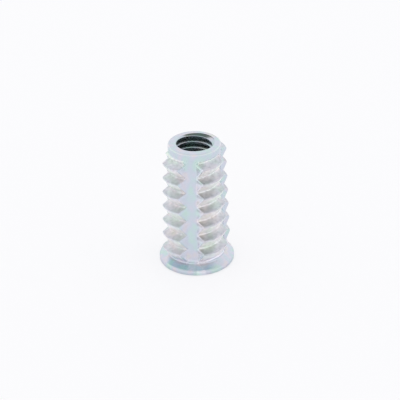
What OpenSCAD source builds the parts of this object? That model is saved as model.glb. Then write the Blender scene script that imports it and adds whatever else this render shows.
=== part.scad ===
// Threaded insert for wood, cast in one piece: flange, coarse outer thread with four
// parting strips, plain pilot, tapped bore and hexagon socket in the flange end.
// Z up the axis, flange underside on Z = 0, first parting strip toward -Y. Millimetres.

/* [Body] */
// overall length, flange underside to end face
insert_len = 25; // [20:1:40]
// diameter of the plain pilot at the entering end
pilot_d = 10; // [9.6:0.2:10.8]
// length of the plain pilot
pilot_len = 1.4; // [1:0.1:4]
// chamfer round the end face
end_chamfer = 0.3; // [0.1:0.1:0.6]

/* [Flange] */
// flange diameter
flange_d = 14.5; // [14:0.5:20]
// height of the flange at its rounded rim
rim_h = 1.0; // [0.8:0.1:1.2]
// height where the fillet over the flange meets the barrel
flange_h = 1.8; // [1.6:0.1:2.4]
// diameter of the plain barrel under the thread
barrel_d = 11.1; // [10.6:0.1:12]

/* [Outer thread] */
// pitch of the outer thread, one start, right-hand
pitch = 3.0; // [2.5:0.1:3.5]
// crest diameter at the entering end
crest_top_d = 12.6; // [11.8:0.1:13]
// crest diameter at the flange end
crest_bot_d = 13.9; // [12.8:0.1:14]
// root diameter at the entering end
root_top_d = 9.0; // [8.8:0.1:9.6]
// root diameter at the flange end
root_bot_d = 10.9; // [10.2:0.1:11.4]
// width of the flat on the crest
crest_flat = 0.2; // [0.1:0.05:0.5]
// share of the pitch taken by the long lower flank
lower_share = 0.78; // [0.4:0.02:0.85]

/* [Parting strips] */
// width of each smooth strip
strip_w = 1.85; // [1:0.05:2.4]
// distance across two opposite strips at the entering end
strip_top_d = 9.2; // [9:0.1:10]
// distance across two opposite strips at the flange end
strip_bot_d = 10.9; // [10.4:0.1:11.4]
// angle of the slope from a strip up to the crest
strip_angle = 38; // [25:1:50]

/* [Bore and drive] */
// bore through the insert, core diameter of the inner thread
bore_d = 6.8; // [6:0.1:7]
// countersink depth at the entering end
bore_chamfer = 0.2; // [0.1:0.1:0.4]
// hexagon socket across flats
hex_af = 8; // [7.2:0.1:8.4]
// hexagon socket depth
hex_depth = 5; // [3:0.5:8]

/* [Hidden] */
// columns round the barrel, and in half the step between two strips
n_col = 80;
half_step = n_col / 8;
strip_n = 4;
strip_step = 360 / strip_n;
// height of a crest over the first strip, in turns
crest_phase = 0.39;
thread_low = flange_h + 0.1;
thread_high = insert_len - pilot_len;
// how far the thread runs out past each end, and how softly its lines bend there
run_out = 0.5;
bend = 0.5;
// one turn of the profile, from the root up: [share of the pitch, height 0 to 1]
crest_half = 0.5 * crest_flat / pitch;
profile = [
    [0, 0],
    [0.5 * lower_share, 0.5],
    [lower_share - crest_half, 1],
    [lower_share + crest_half, 1],
    [0.5 + 0.5 * lower_share, 0.45]
];
n_line = len(profile);
root_turn = crest_phase - lower_share;
first_turn = floor((thread_low - run_out) / pitch - 1 - root_turn);
spiral_z = pitch * (first_turn + root_turn);
turns = ceil((thread_high + run_out - spiral_z) / pitch);
line_count = turns * n_line;

function mix(a, b, t) = a + (b - a) * t;
function ramp(t) = let (c = min(1, max(0, t))) c * c * (3 - 2 * c);
function root_r(z) = 0.5 * mix(root_bot_d, root_top_d, z / insert_len);
function crest_r(z) = 0.5 * mix(crest_bot_d, crest_top_d, z / insert_len);
function strip_r(z) = 0.5 * mix(strip_bot_d, strip_top_d, z / insert_len);
function plain_r(z) = 0.5 * (z < 0.5 * insert_len ? barrel_d : pilot_d);

// angle from the middle of the nearest strip
function off_strip(a) = let (b = a / strip_step + 0.5) strip_step * abs(b - floor(b) - 0.5);

// radius at the strip's flat, then on the slopes that rise from its edges
function strip_cut(a, z) = let (
    b = off_strip(a),
    t = tan(strip_angle)
) strip_r(z) * tan(b) < 0.5 * strip_w ? strip_r(z) / cos(b)
  : (strip_r(z) - 0.5 * strip_w * t) / max(0.05, cos(b) - t * sin(b));

// a spiral line keeps between two heights and bends to lie along them
function above(z, low) = low + 0.5 * (z - low + sqrt((z - low) * (z - low) + bend * bend));
function held(z) = thread_high - (above(thread_high - above(z, thread_low), 0));

function line_z(p, i) = spiral_z
    + pitch * (floor(p / n_line) + profile[p % n_line][0] + col_a(i) / 360);

// columns fall on the strip's edge and on the corner where its slope meets the crest
mid_strip = strip_r(0.5 * insert_len);
edge_a = atan(0.5 * strip_w / mid_strip);
corner_a = acos((mid_strip - 0.5 * strip_w * tan(strip_angle)) * cos(strip_angle)
    / crest_r(0.5 * insert_len)) - strip_angle;
edge_share = 0.2;
corner_share = 0.4;
function near_strip(t) = t < edge_share ? edge_a * t / edge_share
    : t < corner_share ? mix(edge_a, corner_a, (t - edge_share) / (corner_share - edge_share))
    : mix(corner_a, 0.5 * strip_step, (t - corner_share) / (1 - corner_share));
function col_a(i) = let (o = floor(i / half_step), t = i / half_step - o)
    0.5 * strip_step * (o % 2 == 0 ? o : o + 1) + (o % 2 == 0 ? near_strip(t) : -near_strip(1 - t));
function at(r, a, z) = [r * sin(a), -r * cos(a), z];
function spiral_pt(p, i) = let (
    z0 = line_z(p, i),
    z = held(z0),
    a = col_a(i),
    grow = ramp((z0 - thread_low + run_out) / run_out) * ramp((thread_high + run_out - z0) / run_out),
    tooth = min(mix(root_r(z), crest_r(z), profile[p % n_line][1]), strip_cut(a, z))
) at(mix(plain_r(z), tooth, grow), a, z);

// plain rings below and above the thread, [height, radius]
barrel_r = 0.5 * barrel_d;
flange_r = 0.5 * flange_d;
low_rings = [
    [0, flange_r - 0.35 * rim_h],
    [0.12 * rim_h, flange_r - 0.1 * rim_h],
    [0.35 * rim_h, flange_r],
    [0.75 * rim_h, flange_r],
    [0.92 * rim_h, flange_r - 0.1 * rim_h],
    [rim_h, flange_r - 0.25 * rim_h],
    [mix(rim_h, flange_h, 0.82), mix(flange_r, barrel_r, 0.88)],
    [flange_h, barrel_r]
];
high_rings = [
    [thread_high + 0.05, 0.5 * pilot_d],
    [insert_len - end_chamfer, 0.5 * pilot_d],
    [insert_len, 0.5 * pilot_d - end_chamfer]
];
n_low = len(low_rings);
n_high = len(high_rings);

function ring_pts(rings) = [for (k = rings) for (i = [0:n_col - 1]) at(k[1], col_a(i), k[0])];

// index of a point of a low ring, a spiral line, the last line's ends and a high ring
function low_at(k, i) = k * n_col + i % n_col;
base_line = n_low * n_col;
function line_at(p, i) = i < n_col ? base_line + p * n_col + i
    : p + n_line <= line_count ? base_line + (p + n_line) * n_col
    : base_end + p + n_line - line_count - 1;
base_end = base_line + (line_count + 1) * n_col;
base_high = base_end + n_line;
function high_at(k, i) = base_high + k * n_col + i % n_col;

module barrel() {
    points = concat(
        ring_pts(low_rings),
        [for (p = [0:line_count]) for (i = [0:n_col - 1]) spiral_pt(p, i)],
        [for (k = [1:n_line]) spiral_pt(line_count - n_line + k, n_col)],
        ring_pts(high_rings)
    );
    faces = concat(
        [[for (i = [0:n_col - 1]) low_at(0, i)]],
        [for (k = [0:n_low - 2]) for (i = [0:n_col - 1])
            [low_at(k, i), low_at(k + 1, i), low_at(k + 1, i + 1), low_at(k, i + 1)]],
        // from the last low ring to the first spiral line
        [for (i = [0:n_col - 2]) [low_at(n_low - 1, i), line_at(0, i), line_at(0, i + 1)]],
        [for (i = [0:n_col - 2])
            [low_at(n_low - 1, i), line_at(0, i + 1), low_at(n_low - 1, i + 1)]],
        [[line_at(0, n_col - 1), low_at(n_low - 1, 0), low_at(n_low - 1, n_col - 1)]],
        [[line_at(0, n_col - 1), line_at(0, 0), low_at(n_low - 1, 0)]],
        [for (k = [0:n_line - 1]) [line_at(0, n_col - 1), line_at(k + 1, 0), line_at(k, 0)]],
        // between spiral lines
        [for (p = [0:line_count - 1]) for (i = [0:n_col - 1])
            [line_at(p, i), line_at(p + 1, i), line_at(p + 1, i + 1)]],
        [for (p = [0:line_count - 1]) for (i = [0:n_col - 1])
            [line_at(p, i), line_at(p + 1, i + 1), line_at(p, i + 1)]],
        // from the last spiral line to the first high ring
        [for (i = [1:n_col - 1]) [line_at(line_count, i), high_at(0, i), high_at(0, i + 1)]],
        [for (i = [1:n_col - 1])
            [line_at(line_count, i), high_at(0, i + 1), line_at(line_count, i + 1)]],
        [for (k = [1:n_line]) [line_at(line_count, 1),
            line_at(line_count - n_line + k - 1, n_col), line_at(line_count - n_line + k, n_col)]],
        [[line_at(line_count, 1), line_at(line_count, n_col), high_at(0, 0)]],
        [[line_at(line_count, 1), high_at(0, 0), high_at(0, 1)]],
        [for (k = [0:n_high - 2]) for (i = [0:n_col - 1])
            [high_at(k, i), high_at(k + 1, i), high_at(k + 1, i + 1), high_at(k, i + 1)]],
        [[for (i = [n_col - 1:-1:0]) high_at(n_high - 1, i)]]
    );
    polyhedron(points, faces, convexity = 10);
}

module bore() {
    translate([0, 0, -1]) cylinder(h = insert_len + 2, d = bore_d, $fn = 96);
    translate([0, 0, insert_len - bore_chamfer])
        cylinder(h = 2 * bore_chamfer, d1 = bore_d, d2 = bore_d + 4 * bore_chamfer, $fn = 96);
}

module socket() {
    translate([0, 0, -1]) cylinder(h = hex_depth + 1, d = hex_af / cos(30), $fn = 6);
}

module insert() {
    difference() {
        barrel();
        bore();
        socket();
    }
}

color([0.75, 0.77, 0.8]) insert();
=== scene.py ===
import math

import bpy
from mathutils import Matrix, Vector


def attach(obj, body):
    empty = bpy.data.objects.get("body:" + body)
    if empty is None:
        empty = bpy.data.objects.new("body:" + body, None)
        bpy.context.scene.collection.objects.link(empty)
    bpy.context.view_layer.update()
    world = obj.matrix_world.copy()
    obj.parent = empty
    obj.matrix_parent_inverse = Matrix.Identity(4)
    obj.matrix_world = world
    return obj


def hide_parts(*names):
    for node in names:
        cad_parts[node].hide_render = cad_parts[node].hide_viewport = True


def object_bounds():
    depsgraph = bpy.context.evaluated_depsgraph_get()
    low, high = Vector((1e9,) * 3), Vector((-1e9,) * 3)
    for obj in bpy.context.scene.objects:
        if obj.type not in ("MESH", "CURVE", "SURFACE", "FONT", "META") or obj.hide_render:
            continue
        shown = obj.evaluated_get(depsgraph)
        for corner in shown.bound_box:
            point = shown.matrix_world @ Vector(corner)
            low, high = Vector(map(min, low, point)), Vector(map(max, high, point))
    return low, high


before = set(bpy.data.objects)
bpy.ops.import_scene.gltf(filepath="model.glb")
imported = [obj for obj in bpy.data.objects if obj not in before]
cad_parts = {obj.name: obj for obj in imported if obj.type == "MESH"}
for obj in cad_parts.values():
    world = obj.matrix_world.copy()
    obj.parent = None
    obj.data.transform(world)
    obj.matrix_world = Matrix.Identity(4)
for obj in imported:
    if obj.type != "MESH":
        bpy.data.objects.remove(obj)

cad_low, cad_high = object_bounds()
MM = 0.001

# ---------------------------------------------------------------------------
# Studio: the camera looks down 30 degrees, a little to the right of the first parting strip,
# through a long lens. It is set up before the pieces are made.
scene = bpy.context.scene
scene.view_settings.view_transform = "Standard"
shot_side = math.radians(8.35)
shot_down = math.radians(30)
shot_roll = math.radians(1.3)
shot_far = 0.2865
shot_pixels = 400
sensor_width = 36
aim_height = 0.01242
pixel_size = 0.000191
aim_pixel = (195.65, 200.95)
forward = Vector((-math.sin(shot_side) * math.cos(shot_down),
                  math.cos(shot_side) * math.cos(shot_down), -math.sin(shot_down)))
right = forward.cross(Vector((0, 0, 1))).normalized()
up = right.cross(forward)
off_x = (aim_pixel[0] - shot_pixels / 2) * pixel_size
off_y = (shot_pixels / 2 - aim_pixel[1]) * pixel_size
along = off_x * math.cos(shot_roll) + off_y * math.sin(shot_roll)
rise = off_y * math.cos(shot_roll) - off_x * math.sin(shot_roll)
camera = bpy.data.objects.new("camera", bpy.data.cameras.new("camera"))
scene.collection.objects.link(camera)
camera.data.sensor_width = sensor_width
camera.data.lens = sensor_width * shot_far / (shot_pixels * pixel_size)
camera.data.clip_start = 0.01
camera.data.clip_end = 10
turn = Matrix((right, up, -forward)).transposed().to_4x4()
stand = Vector((0, 0, aim_height)) - forward * shot_far - right * along - up * rise
camera.matrix_world = Matrix.Translation(stand) @ turn @ Matrix.Rotation(-shot_roll, 4, "Z")
scene.camera = camera
bpy.context.view_layer.update()

# ---------------------------------------------------------------------------
# Thread blank: the die-cast zinc barrel between the flange and the pilot, with its coarse
# outer thread. The profile of one turn is wound up the axis, then tapered, and relieved along
# the four parting strips where the slides of the die met.
insert_len = round(cad_high[2], 6)  # as the solid stands
pitch = 3.0 * MM
crest_phase = 0.39
thread_low = 1.95 * MM
thread_high = 23.65 * MM
run_out = 0.5 * MM
# diameters at the foot and at the end face, and the radii of the plain ends
crest_d = (13.9 * MM, 12.6 * MM)
root_d = (10.9 * MM, 9.0 * MM)
strip_d = (10.9 * MM, 9.2 * MM)
plain_r = (5.55 * MM, 5.0 * MM)
# each strip is a flat with a slope on both sides, and rises into the pilot
strip_half = 0.925 * MM
strip_slope = math.tan(math.radians(38))
strip_least_fall = 0.05
strip_blend = 1.0 * MM
strip_rise = 0.34 * MM
strip_rise_from = 21.0 * MM
clear = 0.02 * MM
# the tooth, as shares of its pitch and its height
lower_share = 0.78
tooth_top = 0.93
crest_round = 0.12
root_round = 0.045
edge_blend = 0.2 * MM
# the blank is wound between two plain radii, and gets its own from them
unit_low, unit_high = 4 * MM, 5 * MM
first_turn, turn_count = -2, 11
profile_steps = 30
sweep_steps = 320
merge_gap = 1e-6
cut_gap = 1e-7


def tooth_height(share):
    """Height of the tooth profile, 0 at the root and 1 at the crest, with rounded turns."""
    height = min(share / lower_share, (1 - share) / (1 - lower_share))
    straight = tooth_top - crest_round
    if height > straight:
        height = straight + crest_round * (1 - math.exp(-(height - straight) / crest_round))
    return max(height, root_round * math.exp(-height / root_round))


def take(piece):
    """Select one piece and nothing else."""
    bpy.ops.object.select_all(action="DESELECT")
    bpy.context.view_layer.objects.active = piece
    piece.select_set(True)


def draw_profile(name, points):
    """A line through points in the plane of the axis, as a new piece that is selected."""
    mesh = bpy.data.meshes.new(name)
    mesh.from_pydata(points, [(k, k + 1) for k in range(len(points) - 1)], [])
    piece = bpy.data.objects.new(name, mesh)
    scene.collection.objects.link(piece)
    take(piece)
    return piece


def wind_thread(name, profile, lead, turns, steps, low, high):
    """Wind a profile up the axis into a closed thread, cut off square at both ends."""
    thread = draw_profile(name, profile)
    screw = thread.modifiers.new("thread", "SCREW")
    screw.axis = "Z"
    screw.angle = 2 * math.pi
    screw.screw_offset = lead
    screw.iterations = turns
    screw.steps = screw.render_steps = steps
    screw.use_merge_vertices = True
    screw.merge_threshold = cut_gap
    bpy.ops.object.modifier_apply(modifier=screw.name)
    bpy.ops.object.mode_set(mode="EDIT")
    bpy.ops.mesh.select_all(action="SELECT")
    bpy.ops.mesh.remove_doubles(threshold=merge_gap)
    bpy.ops.mesh.bisect(plane_co=(0, 0, low), plane_no=(0, 0, 1), use_fill=True,
                        threshold=cut_gap, clear_inner=True)
    bpy.ops.mesh.select_all(action="SELECT")
    bpy.ops.mesh.bisect(plane_co=(0, 0, high), plane_no=(0, 0, 1), use_fill=True,
                        threshold=cut_gap, clear_outer=True)
    bpy.ops.mesh.select_all(action="SELECT")
    bpy.ops.mesh.normals_make_consistent(inside=False)
    bpy.ops.object.mode_set(mode="OBJECT")
    return thread


def soft_step(value):
    value = min(1.0, max(0.0, value))
    return value * value * (3 - 2 * value)


def soft_min(one, other, blend):
    gap = max(blend - abs(one - other), 0) / blend
    return min(one, other) - gap * gap * blend / 4


def tapered(diameters, share):
    """Radius at a share of the length, between the diameters at the foot and at the end face."""
    return (diameters[0] + (diameters[1] - diameters[0]) * share) / 2


def barrel_radius(bearing, z, height):
    """Radius of the barrel at a bearing from the front and a place along the axis."""
    root, crest, strip = (tapered(diameters, z / insert_len) for diameters in (root_d, crest_d, strip_d))
    off = abs((bearing / (math.pi / 2) + 0.5) % 1 - 0.5) * math.pi / 2
    strip += strip_rise * soft_step((z - strip_rise_from) / (thread_high - strip_rise_from))
    aside = strip * math.tan(off)
    root += max(strip + clear - root, 0) * (1 - soft_step((aside - strip_half) / strip_blend))
    relief = strip / math.cos(off)
    if aside > strip_half:
        fall = max(strip_least_fall, math.cos(off) - strip_slope * math.sin(off))
        relief = max(relief, (strip - strip_half * strip_slope) / fall)
    tooth = soft_min(root + (crest - root) * height, relief, edge_blend)
    plain = plain_r[0] if z < insert_len / 2 else plain_r[1] - clear
    grow_low = soft_step((z - thread_low) / run_out)
    grow_high = soft_step((thread_high - z) / run_out)
    return plain + (tooth - plain) * grow_low * grow_high


one_turn = []
for step in range(profile_steps + 1):
    share = step / profile_steps
    one_turn.append((0, -(unit_low + (unit_high - unit_low) * tooth_height(share)),
                     pitch * (first_turn + crest_phase - lower_share + share)))
blank = wind_thread("insert_casting", one_turn, pitch, turn_count, sweep_steps, thread_low, thread_high)
for vertex in blank.data.vertices:
    x, y, z = vertex.co
    radius = math.hypot(x, y)
    # the cut ends may have points near the axis, which stay
    if radius < unit_low * 0.9:
        continue
    new = barrel_radius(math.atan2(x, -y), z, (radius - unit_low) / (unit_high - unit_low))
    vertex.co = (x / radius * new, y / radius * new, z)

# ---------------------------------------------------------------------------
# Flange and pilot: the plain round forms at the two ends of the same casting, joined to the
# thread blank. The rim is thin, the flange rises in a shallow cone, and the end has a chamfer.
round_steps = 180
foot_edge = [(0, 0), (6.9, 0), (7.02, 0.03), (7.15, 0.12), (7.22, 0.23), (7.25, 0.37)]
rim_edge = [(7.25, 0.73), (7.22, 0.84), (7.15, 0.93), (7.0, 1.0)]
cone_top = [(5.75, 1.66), (5.62, 1.74), (5.56, 1.82), (5.55, 1.94), (5.55, 2.1)]
inside_blank = [(5.3, 2.3), (4.35, 2.6), (4.35, 23.2), (4.9, 23.5)]
pilot_side = [(5.0, 23.62), (5.0, 24.62)]
end_edge = [(4.97, 24.78), (4.88, 24.91), (4.74, 24.98), (4.6, 25), (0, 25)]
outline = foot_edge + rim_edge + cone_top + inside_blank + pilot_side + end_edge
ends = draw_profile("ends", [(0, -r * MM, z * MM) for r, z in outline])
bpy.ops.object.mode_set(mode="EDIT")
bpy.ops.mesh.select_all(action="SELECT")
bpy.ops.mesh.spin(steps=round_steps, angle=2 * math.pi, center=(0, 0, 0), axis=(0, 0, 1))
bpy.ops.mesh.select_all(action="SELECT")
bpy.ops.mesh.remove_doubles(threshold=merge_gap)
bpy.ops.mesh.normals_make_consistent(inside=False)
bpy.ops.object.mode_set(mode="OBJECT")

# ---------------------------------------------------------------------------
# Bore and socket: the M8 thread that is tapped through the casting and runs out through its
# end face, and the hexagon that the die's core leaves in the flange end. Both are cut out of
# the casting, once its flange and pilot are joined to the blank.
tap_pitch = 1.25 * MM
tap_core = 3.42 * MM
tap_top = 4.0 * MM
tap_phase = 0.09
tap_first, tap_turns = -3, 26
tap_steps = 96
tap_low, tap_high = 4.6 * MM, 25.4 * MM
# one turn of the tap, as shares of its pitch and of its depth
tap_tooth = [(0, 0), (0.1, 0), (0.42, 1), (0.54, 1), (0.86, 0), (1, 0)]
tap_turn = [(0, -(tap_core + (tap_top - tap_core) * depth), (share + tap_first + tap_phase) * tap_pitch)
            for share, depth in tap_tooth]
tap = wind_thread("tap", tap_turn, tap_pitch, tap_turns, tap_steps, tap_low, tap_high)

hex_af = 8 * MM
hex_depth = 5 * MM
punch_below = 2 * MM
bpy.ops.object.select_all(action="DESELECT")
bpy.ops.mesh.primitive_cylinder_add(vertices=6, radius=hex_af / math.sqrt(3), depth=hex_depth + punch_below,
                                    location=(0, 0, (hex_depth - punch_below) / 2),
                                    rotation=(0, 0, math.radians(30)))
punch = bpy.context.object
punch.name = "punch"
bpy.ops.object.transform_apply(location=True, rotation=True, scale=True)

for solid, mode in ((ends, "UNION"), (tap, "DIFFERENCE"), (punch, "DIFFERENCE")):
    take(blank)
    join = blank.modifiers.new("join", "BOOLEAN")
    join.operation = mode
    join.solver = "EXACT"
    join.object = solid
    bpy.ops.object.modifier_apply(modifier=join.name)
    bpy.data.objects.remove(solid)
bpy.ops.object.mode_set(mode="EDIT")
bpy.ops.mesh.select_all(action="SELECT")
bpy.ops.mesh.remove_doubles(threshold=2 * merge_gap)
bpy.ops.object.mode_set(mode="OBJECT")
smooth_below = math.radians(32)
bpy.ops.object.shade_smooth_by_angle(angle=smooth_below)

# ---------------------------------------------------------------------------
# Finish of the casting: bright zinc plating with a faint rainbow passivation. It is smooth on
# the strips and the ends, and greyer and rougher in the grooves. Painted light and shade are laid
# into its colour, and follow the turns of the thread, by the same pitch and taper as its shape.
smooth_rough, groove_rough = 0.24, 0.6
plating = bpy.data.materials.new("plated_zinc")
plating.use_nodes = True
nodes, links = plating.node_tree.nodes, plating.node_tree.links
shader = nodes["Principled BSDF"]
shader.inputs["Metallic"].default_value = 1.0
place = nodes.new("ShaderNodeTexCoord")


def wire(socket, value):
    """Give a socket a number, a colour or another node's output."""
    if isinstance(value, bpy.types.NodeSocket):
        links.new(value, socket)
    elif isinstance(value, tuple):
        socket.default_value = (*value, 1)
    else:
        socket.default_value = value


def reckon(operation, first, second=0.0):
    made = nodes.new("ShaderNodeMath")
    made.operation = operation
    wire(made.inputs[0], first)
    wire(made.inputs[1], second)
    return made.outputs[0]


def times(product, *values):
    """The product of several masks or numbers."""
    for value in values:
        product = reckon("MULTIPLY", product, value)
    return product


def fade(value, start, stop, low=0.0, high=1.0):
    """Go softly from low to high while a value goes from start to stop."""
    made = nodes.new("ShaderNodeMapRange")
    made.interpolation_type = "SMOOTHSTEP"
    for slot, number in (("Value", value), ("From Min", start), ("From Max", stop),
                         ("To Min", low), ("To Max", high)):
        wire(made.inputs[slot], number)
    return made.outputs["Result"]


def comes(value, start, stop, low=0.0):
    """A mask that comes in between two places along a value, in millimetres."""
    return fade(value, start * MM, stop * MM, low, 1.0)


def goes(value, start, stop, low=0.0):
    """A mask that goes out between two places along a value, in millimetres."""
    return fade(value, start * MM, stop * MM, 1.0, low)


def other_than(mask):
    return fade(mask, 0.0, 1.0, 1.0, 0.0)


def tones(value, stops):
    """A ramp of (place, colour) stops along a value."""
    made = nodes.new("ShaderNodeValToRGB")
    ramp = made.color_ramp
    ramp.elements[0].position, ramp.elements[0].color = stops[0][0], (*stops[0][1], 1)
    ramp.elements[1].position, ramp.elements[1].color = stops[-1][0], (*stops[-1][1], 1)
    for spot, color in stops[1:-1]:
        ramp.elements.new(spot).color = (*color, 1)
    links.new(value, made.inputs["Fac"])
    return made.outputs["Color"]


def blend(kind, factor, first, second):
    """Mix or multiply two colours by a factor."""
    made = nodes.new("ShaderNodeMix")
    made.data_type, made.blend_type = "RGBA", kind
    sockets = {(slot.name, slot.type): slot for slot in made.inputs}
    wire(sockets["Factor", "VALUE"], factor)
    wire(sockets["A", "RGBA"], first)
    wire(sockets["B", "RGBA"], second)
    return [slot for slot in made.outputs if slot.type == "RGBA"][0]


def toned(mask, coat, color):
    """Tone a coat with one colour where a mask is."""
    return blend("MULTIPLY", mask, coat, tones(mask, ((0.0, (1, 1, 1)), (1.0, color))))


def noise(scale, detail, roughness=0.5, vector=place.outputs["Object"]):
    made = nodes.new("ShaderNodeTexNoise")
    for slot, value in (("Scale", scale), ("Detail", detail), ("Roughness", roughness), ("Vector", vector)):
        wire(made.inputs[slot], value)
    return made.outputs["Fac"]


# the rainbow tint, in clouds of two to three millimetres
stretch = nodes.new("ShaderNodeMapping")
stretch.inputs["Scale"].default_value = (430, 430, 330)
stretch.inputs["Location"].default_value = (-16.8, -10.1, -5.3)
links.new(place.outputs["Object"], stretch.inputs["Vector"])
tint = tones(noise(1.0, 1.6, 0.55, stretch.outputs["Vector"]), (
    (0.28, (0.57, 0.73, 0.68)), (0.40, (0.58, 0.71, 0.73)), (0.48, (0.61, 0.67, 0.76)),
    (0.56, (0.66, 0.67, 0.77)), (0.64, (0.70, 0.67, 0.73)), (0.74, (0.66, 0.70, 0.67))))

# places on the casting: along its three directions, from its axis, and on the turn of its thread
spread = nodes.new("ShaderNodeSeparateXYZ")
links.new(place.outputs["Object"], spread.inputs["Vector"])
x_at, y_at, z_at = (spread.outputs[axis] for axis in "XYZ")
level = nodes.new("ShaderNodeCombineXYZ")
wire(level.inputs["X"], x_at)
wire(level.inputs["Y"], y_at)
reach = nodes.new("ShaderNodeVectorMath")
reach.operation = "LENGTH"
links.new(level.outputs["Vector"], reach.inputs[0])
from_axis = reach.outputs["Value"]
bearing = reckon("ARCTAN2", x_at, times(y_at, -1.0))
climb = reckon("SUBTRACT", times(z_at, 1 / pitch), times(bearing, 1 / (2 * math.pi)))
turn_share = reckon("FRACT", reckon("ADD", climb, lower_share - crest_phase))
# the levels and radii, in millimetres, that the masks below are set from; seen from the front,
# x is to the right and y goes away
barrel_foot, barrel_end = thread_low / MM, thread_high / MM
end_face, end_radius = insert_len / MM, plain_r[1] / MM
cone_foot, cone_end = rim_edge[-1][1], cone_top[0][1]
cone_radius = cone_top[0][0]
bore_core, bore_wall = tap_core / MM, tap_top / MM
socket_end = hex_depth / MM

# how far the surface lies inside the slope of the nearest strip, which keeps the plain tint
x_off, y_off = reckon("ABSOLUTE", x_at), reckon("ABSOLUTE", y_at)
strip_taper = (strip_d[0] - strip_d[1]) / 2 / insert_len
slope_line = (strip_d[0] / 2 - strip_half * strip_slope) / MM
ahead, beside = reckon("MAXIMUM", x_off, y_off), reckon("MINIMUM", x_off, y_off)
slope_at = reckon("SUBTRACT", ahead, times(beside, strip_slope))
slope_at = reckon("ADD", slope_at, times(z_at, strip_taper))
off_strip = goes(slope_at, slope_line - 0.25, slope_line - 0.05)
on_strip = other_than(off_strip)
outside = comes(from_axis, bore_wall + 0.2, bore_wall + 0.5)
above_foot = comes(z_at, barrel_foot + 0.05, barrel_foot + 1.05)
between_strips = times(off_strip, outside, above_foot, goes(z_at, barrel_end - 0.35, barrel_end + 0.1))

# down in the grooves the plating is less tinted, and painted light makes it paler, most on the long lower
# flanks and least at the crest, so that it changes over each turn
quiet = blend("MIX", times(between_strips, 0.6), tint, (0.655, 0.685, 0.725))
coat = blend("MULTIPLY", between_strips, quiet, tones(turn_share, (
    (0.0, (1.29, 1.23, 1.17)), (0.3, (1.40, 1.32, 1.21)), (0.62, (1.43, 1.34, 1.29)),
    (0.74, (1.20, 1.15, 1.15)), (0.80, (1.08, 1.05, 1.06)), (1.0, (1.27, 1.21, 1.15)))))
# to the right of the strip painted light makes the lower flanks paler towards their roots, and painted
# shade darkens them just below the crest
right_flank_painted_shading = times(between_strips, comes(x_at, 0.9, 1.3), goes(x_at, 4.2, 5.6, 0.5))
coat = blend("MULTIPLY", right_flank_painted_shading, coat, tones(turn_share, (
    (0.0, (1.16, 1.16, 1.15)), (0.35, (1.10, 1.10, 1.09)), (0.58, (1.01, 1.01, 1.00)),
    (0.68, (0.88, 0.88, 0.88)), (0.755, (0.80, 0.80, 0.80)), (0.79, (0.97, 0.97, 0.97)),
    (0.96, (1, 1, 1)), (1.0, (1.12, 1.12, 1.11)))))
# painted light makes the slope on the strip's right paler too
right_slope_painted_light = times(on_strip, outside, comes(x_at, 0.88, 1.0), goes(x_at, 2.4, 3.0),
                    goes(z_at, barrel_end - 0.95, barrel_end - 0.25))
coat = blend("MULTIPLY", right_slope_painted_light, coat, tones(off_strip, ((0.0, (1.20, 1.17, 1.13)), (1.0, (1, 1, 1)))))
# painted shade darkens the short upper flanks, the shelves, most of all right of the front strip
last_turn = times(0.5, comes(x_at, 0.4, 1.2), goes(x_at, 1.6, 3.0),
                  goes(z_at, barrel_end - 0.75, barrel_end - 0.45))
threaded = times(reckon("MAXIMUM", last_turn, goes(z_at, barrel_end - 4.05, barrel_end - 2.65)), above_foot)
shelf_painted_shade = times(goes(x_off, 3.1, 4.9, 0.15), comes(x_at, -1.4, 0.0, 0.40), goes(x_at, 1.8, 2.4, 0.66))
coat = blend("MULTIPLY", times(off_strip, outside, threaded, shelf_painted_shade), coat, tones(turn_share, (
    (0.755, (1, 1, 1)), (0.785, (0.50, 0.51, 0.48)), (0.87, (0.515, 0.525, 0.485)),
    (0.955, (0.65, 0.64, 0.61)), (1.0, (1.0, 1.0, 0.98)))))
# beside the front strip each shelf ends in a faint tip of painted shade on the slope to its right
tip_painted_shade = times(0.45, on_strip, outside, threaded, comes(x_at, 0.6, 1.2), goes(x_at, 1.9, 2.6),
            goes(y_at, -4.0, -3.0), goes(z_at, barrel_end - 3.65, barrel_end - 3.05))
coat = blend("MULTIPLY", tip_painted_shade, coat, tones(turn_share, (
    (0.66, (1, 1, 1)), (0.76, (0.53, 0.54, 0.51)), (0.84, (0.53, 0.54, 0.51)), (0.93, (1, 1, 1)))))
# fine specks in the grooves
coat = blend("MULTIPLY", times(between_strips, 0.5), coat, tones(noise(1700, 3), (
    (0.36, (0.80, 0.80, 0.79)), (0.50, (1.0, 1.0, 1.0)), (0.64, (1.13, 1.12, 1.09)))))

# a painted highlight makes the rounded edge of the end face brighter
end_face_painted_highlight = times(comes(z_at, end_face - 0.28, end_face - 0.2), goes(z_at, end_face - 0.05, end_face - 0.01),
             comes(from_axis, end_radius - 0.4, end_radius - 0.25))
coat = toned(end_face_painted_highlight, coat, (1.15, 1.13, 1.06))
# on the front of the flange's cone a band of painted shade darkens the plating and tints it blue-green,
# greyer towards the barrel
cone = times(comes(from_axis, cone_radius - 0.15, cone_radius + 0.05),
             comes(z_at, cone_foot, cone_foot + 0.08), goes(z_at, cone_end + 0.02, cone_end + 0.14),
             comes(x_at, -5.5, -4.3), goes(x_at, 2.6, 4.8), comes(x_off, 0.4, 1.4, 0.4))
coat = blend("MULTIPLY", cone, coat, tones(comes(z_at, cone_end - 0.28, cone_end - 0.04), (
    (0.0, (0.60, 0.73, 0.78)), (1.0, (0.67, 0.68, 0.68)))))
# the foot of the barrel is pale beside the strips
foot = times(outside, comes(z_at, barrel_foot - 0.1, barrel_foot + 0.1),
             goes(z_at, barrel_foot + 0.55, barrel_foot + 2.05), fade(between_strips, 0.0, 0.6, 1.0, 0.0),
             comes(beside, 0.7, 1.2, 0.15))
coat = toned(foot, coat, (1.36, 1.32, 1.28))
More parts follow.
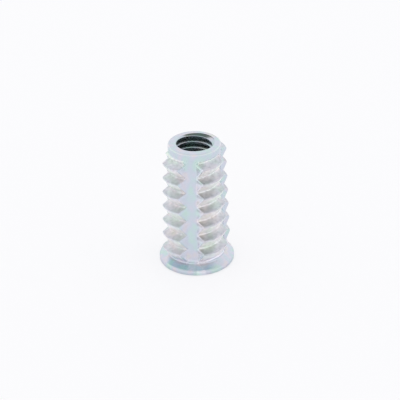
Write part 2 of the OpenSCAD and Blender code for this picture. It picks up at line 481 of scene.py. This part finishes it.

# painted shade darkens the bore, least at its right, and the last groove where it breaks out at the back
inside = goes(from_axis, bore_wall + 0.05, bore_wall + 0.2)
at_back = comes(y_at, 2.2, 3.3)
under_end = goes(z_at, end_face - 0.025, end_face - 0.01)
mouth_painted_shade = times(inside, at_back, comes(z_at, end_face - 0.95, end_face - 0.7), under_end,
              comes(from_axis, bore_core + 0.02, bore_core + 0.08))
coat = toned(mouth_painted_shade, coat, (0.34, 0.37, 0.34))
bore_painted_shade = times(inside, comes(z_at, socket_end - 0.1, socket_end + 0.3), under_end,
                goes(x_at, 1.2, 3.2, 0.55),
                reckon("MAXIMUM", goes(z_at, end_face - 1.1, end_face - 0.1, 0.25), at_back))
coat = blend("MULTIPLY", bore_painted_shade, coat, tones(comes(from_axis, bore_core - 0.02, bore_wall), (
    (0.0, (1, 1, 1)), (0.05, (0.80, 0.90, 0.88)), (0.2, (0.57, 0.67, 0.61)), (1.0, (0.54, 0.62, 0.56)))))
links.new(coat, shader.inputs["Base Color"])
links.new(fade(between_strips, 0.0, 1.0, smooth_rough, groove_rough), shader.inputs["Roughness"])

# a faint grain all over
bump = nodes.new("ShaderNodeBump")
bump.inputs["Strength"].default_value = 0.12
bump.inputs["Distance"].default_value = 0.04 * MM
links.new(noise(2600, 4), bump.inputs["Height"])
links.new(bump.outputs["Normal"], shader.inputs["Normal"])
blank.data.materials.clear()
blank.data.materials.append(plating)
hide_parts("insert")
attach(blank, "root")

# ---------------------------------------------------------------------------
# Floor: a sheet of pale paper under the part. It glows to the camera alone, which makes it
# near white without more light on the part, and it still takes the part's shadow.
paper_color = (0.97, 0.97, 0.98)
paper_glow = (0.97, 0.97, 0.99)
glow_share = 0.72
bpy.ops.object.select_all(action="DESELECT")
bpy.ops.mesh.primitive_plane_add(size=3, location=(0, 0, 0))
floor = bpy.context.object
floor.name = "floor"
paper = bpy.data.materials.new("paper")
paper.use_nodes = True
nodes, links = paper.node_tree.nodes, paper.node_tree.links
sheet = nodes["Principled BSDF"]
wire(sheet.inputs["Base Color"], paper_color)
sheet.inputs["Roughness"].default_value = 1.0
sheet.inputs["Specular IOR Level"].default_value = 0.0
white = nodes.new("ShaderNodeEmission")
wire(white.inputs["Color"], paper_glow)
eye = nodes.new("ShaderNodeLightPath")
cover = nodes.new("ShaderNodeMixShader")
links.new(times(eye.outputs["Is Camera Ray"], glow_share), cover.inputs["Fac"])
links.new(sheet.outputs["BSDF"], cover.inputs[1])
links.new(white.outputs["Emission"], cover.inputs[2])
links.new(cover.outputs["Shader"], nodes["Material Output"].inputs["Surface"])
floor.data.materials.append(paper)

# ---------------------------------------------------------------------------
# Light: a white room all round. In its reflections the ceiling is a little darker overhead,
# which gives the glossy metal some shape.
ceiling_from, ceiling_to = 0.62, 0.92
ceiling_strength = 0.85
room = bpy.data.worlds.new("studio")
scene.world = room
room.use_nodes = True
nodes, links = room.node_tree.nodes, room.node_tree.links
back = nodes["Background"]
wire(back.inputs["Color"], (1, 1, 1))
sky = nodes.new("ShaderNodeTexCoord")
split = nodes.new("ShaderNodeSeparateXYZ")
links.new(sky.outputs["Generated"], split.inputs["Vector"])
seen = nodes.new("ShaderNodeLightPath")
dim = nodes.new("ShaderNodeMix")
dim.data_type = "FLOAT"
dim.inputs["A"].default_value = 1.0
links.new(seen.outputs["Is Glossy Ray"], dim.inputs["Factor"])
links.new(fade(split.outputs["Z"], ceiling_from, ceiling_to, 1.0, ceiling_strength), dim.inputs["B"])
links.new(dim.outputs["Result"], back.inputs["Strength"])
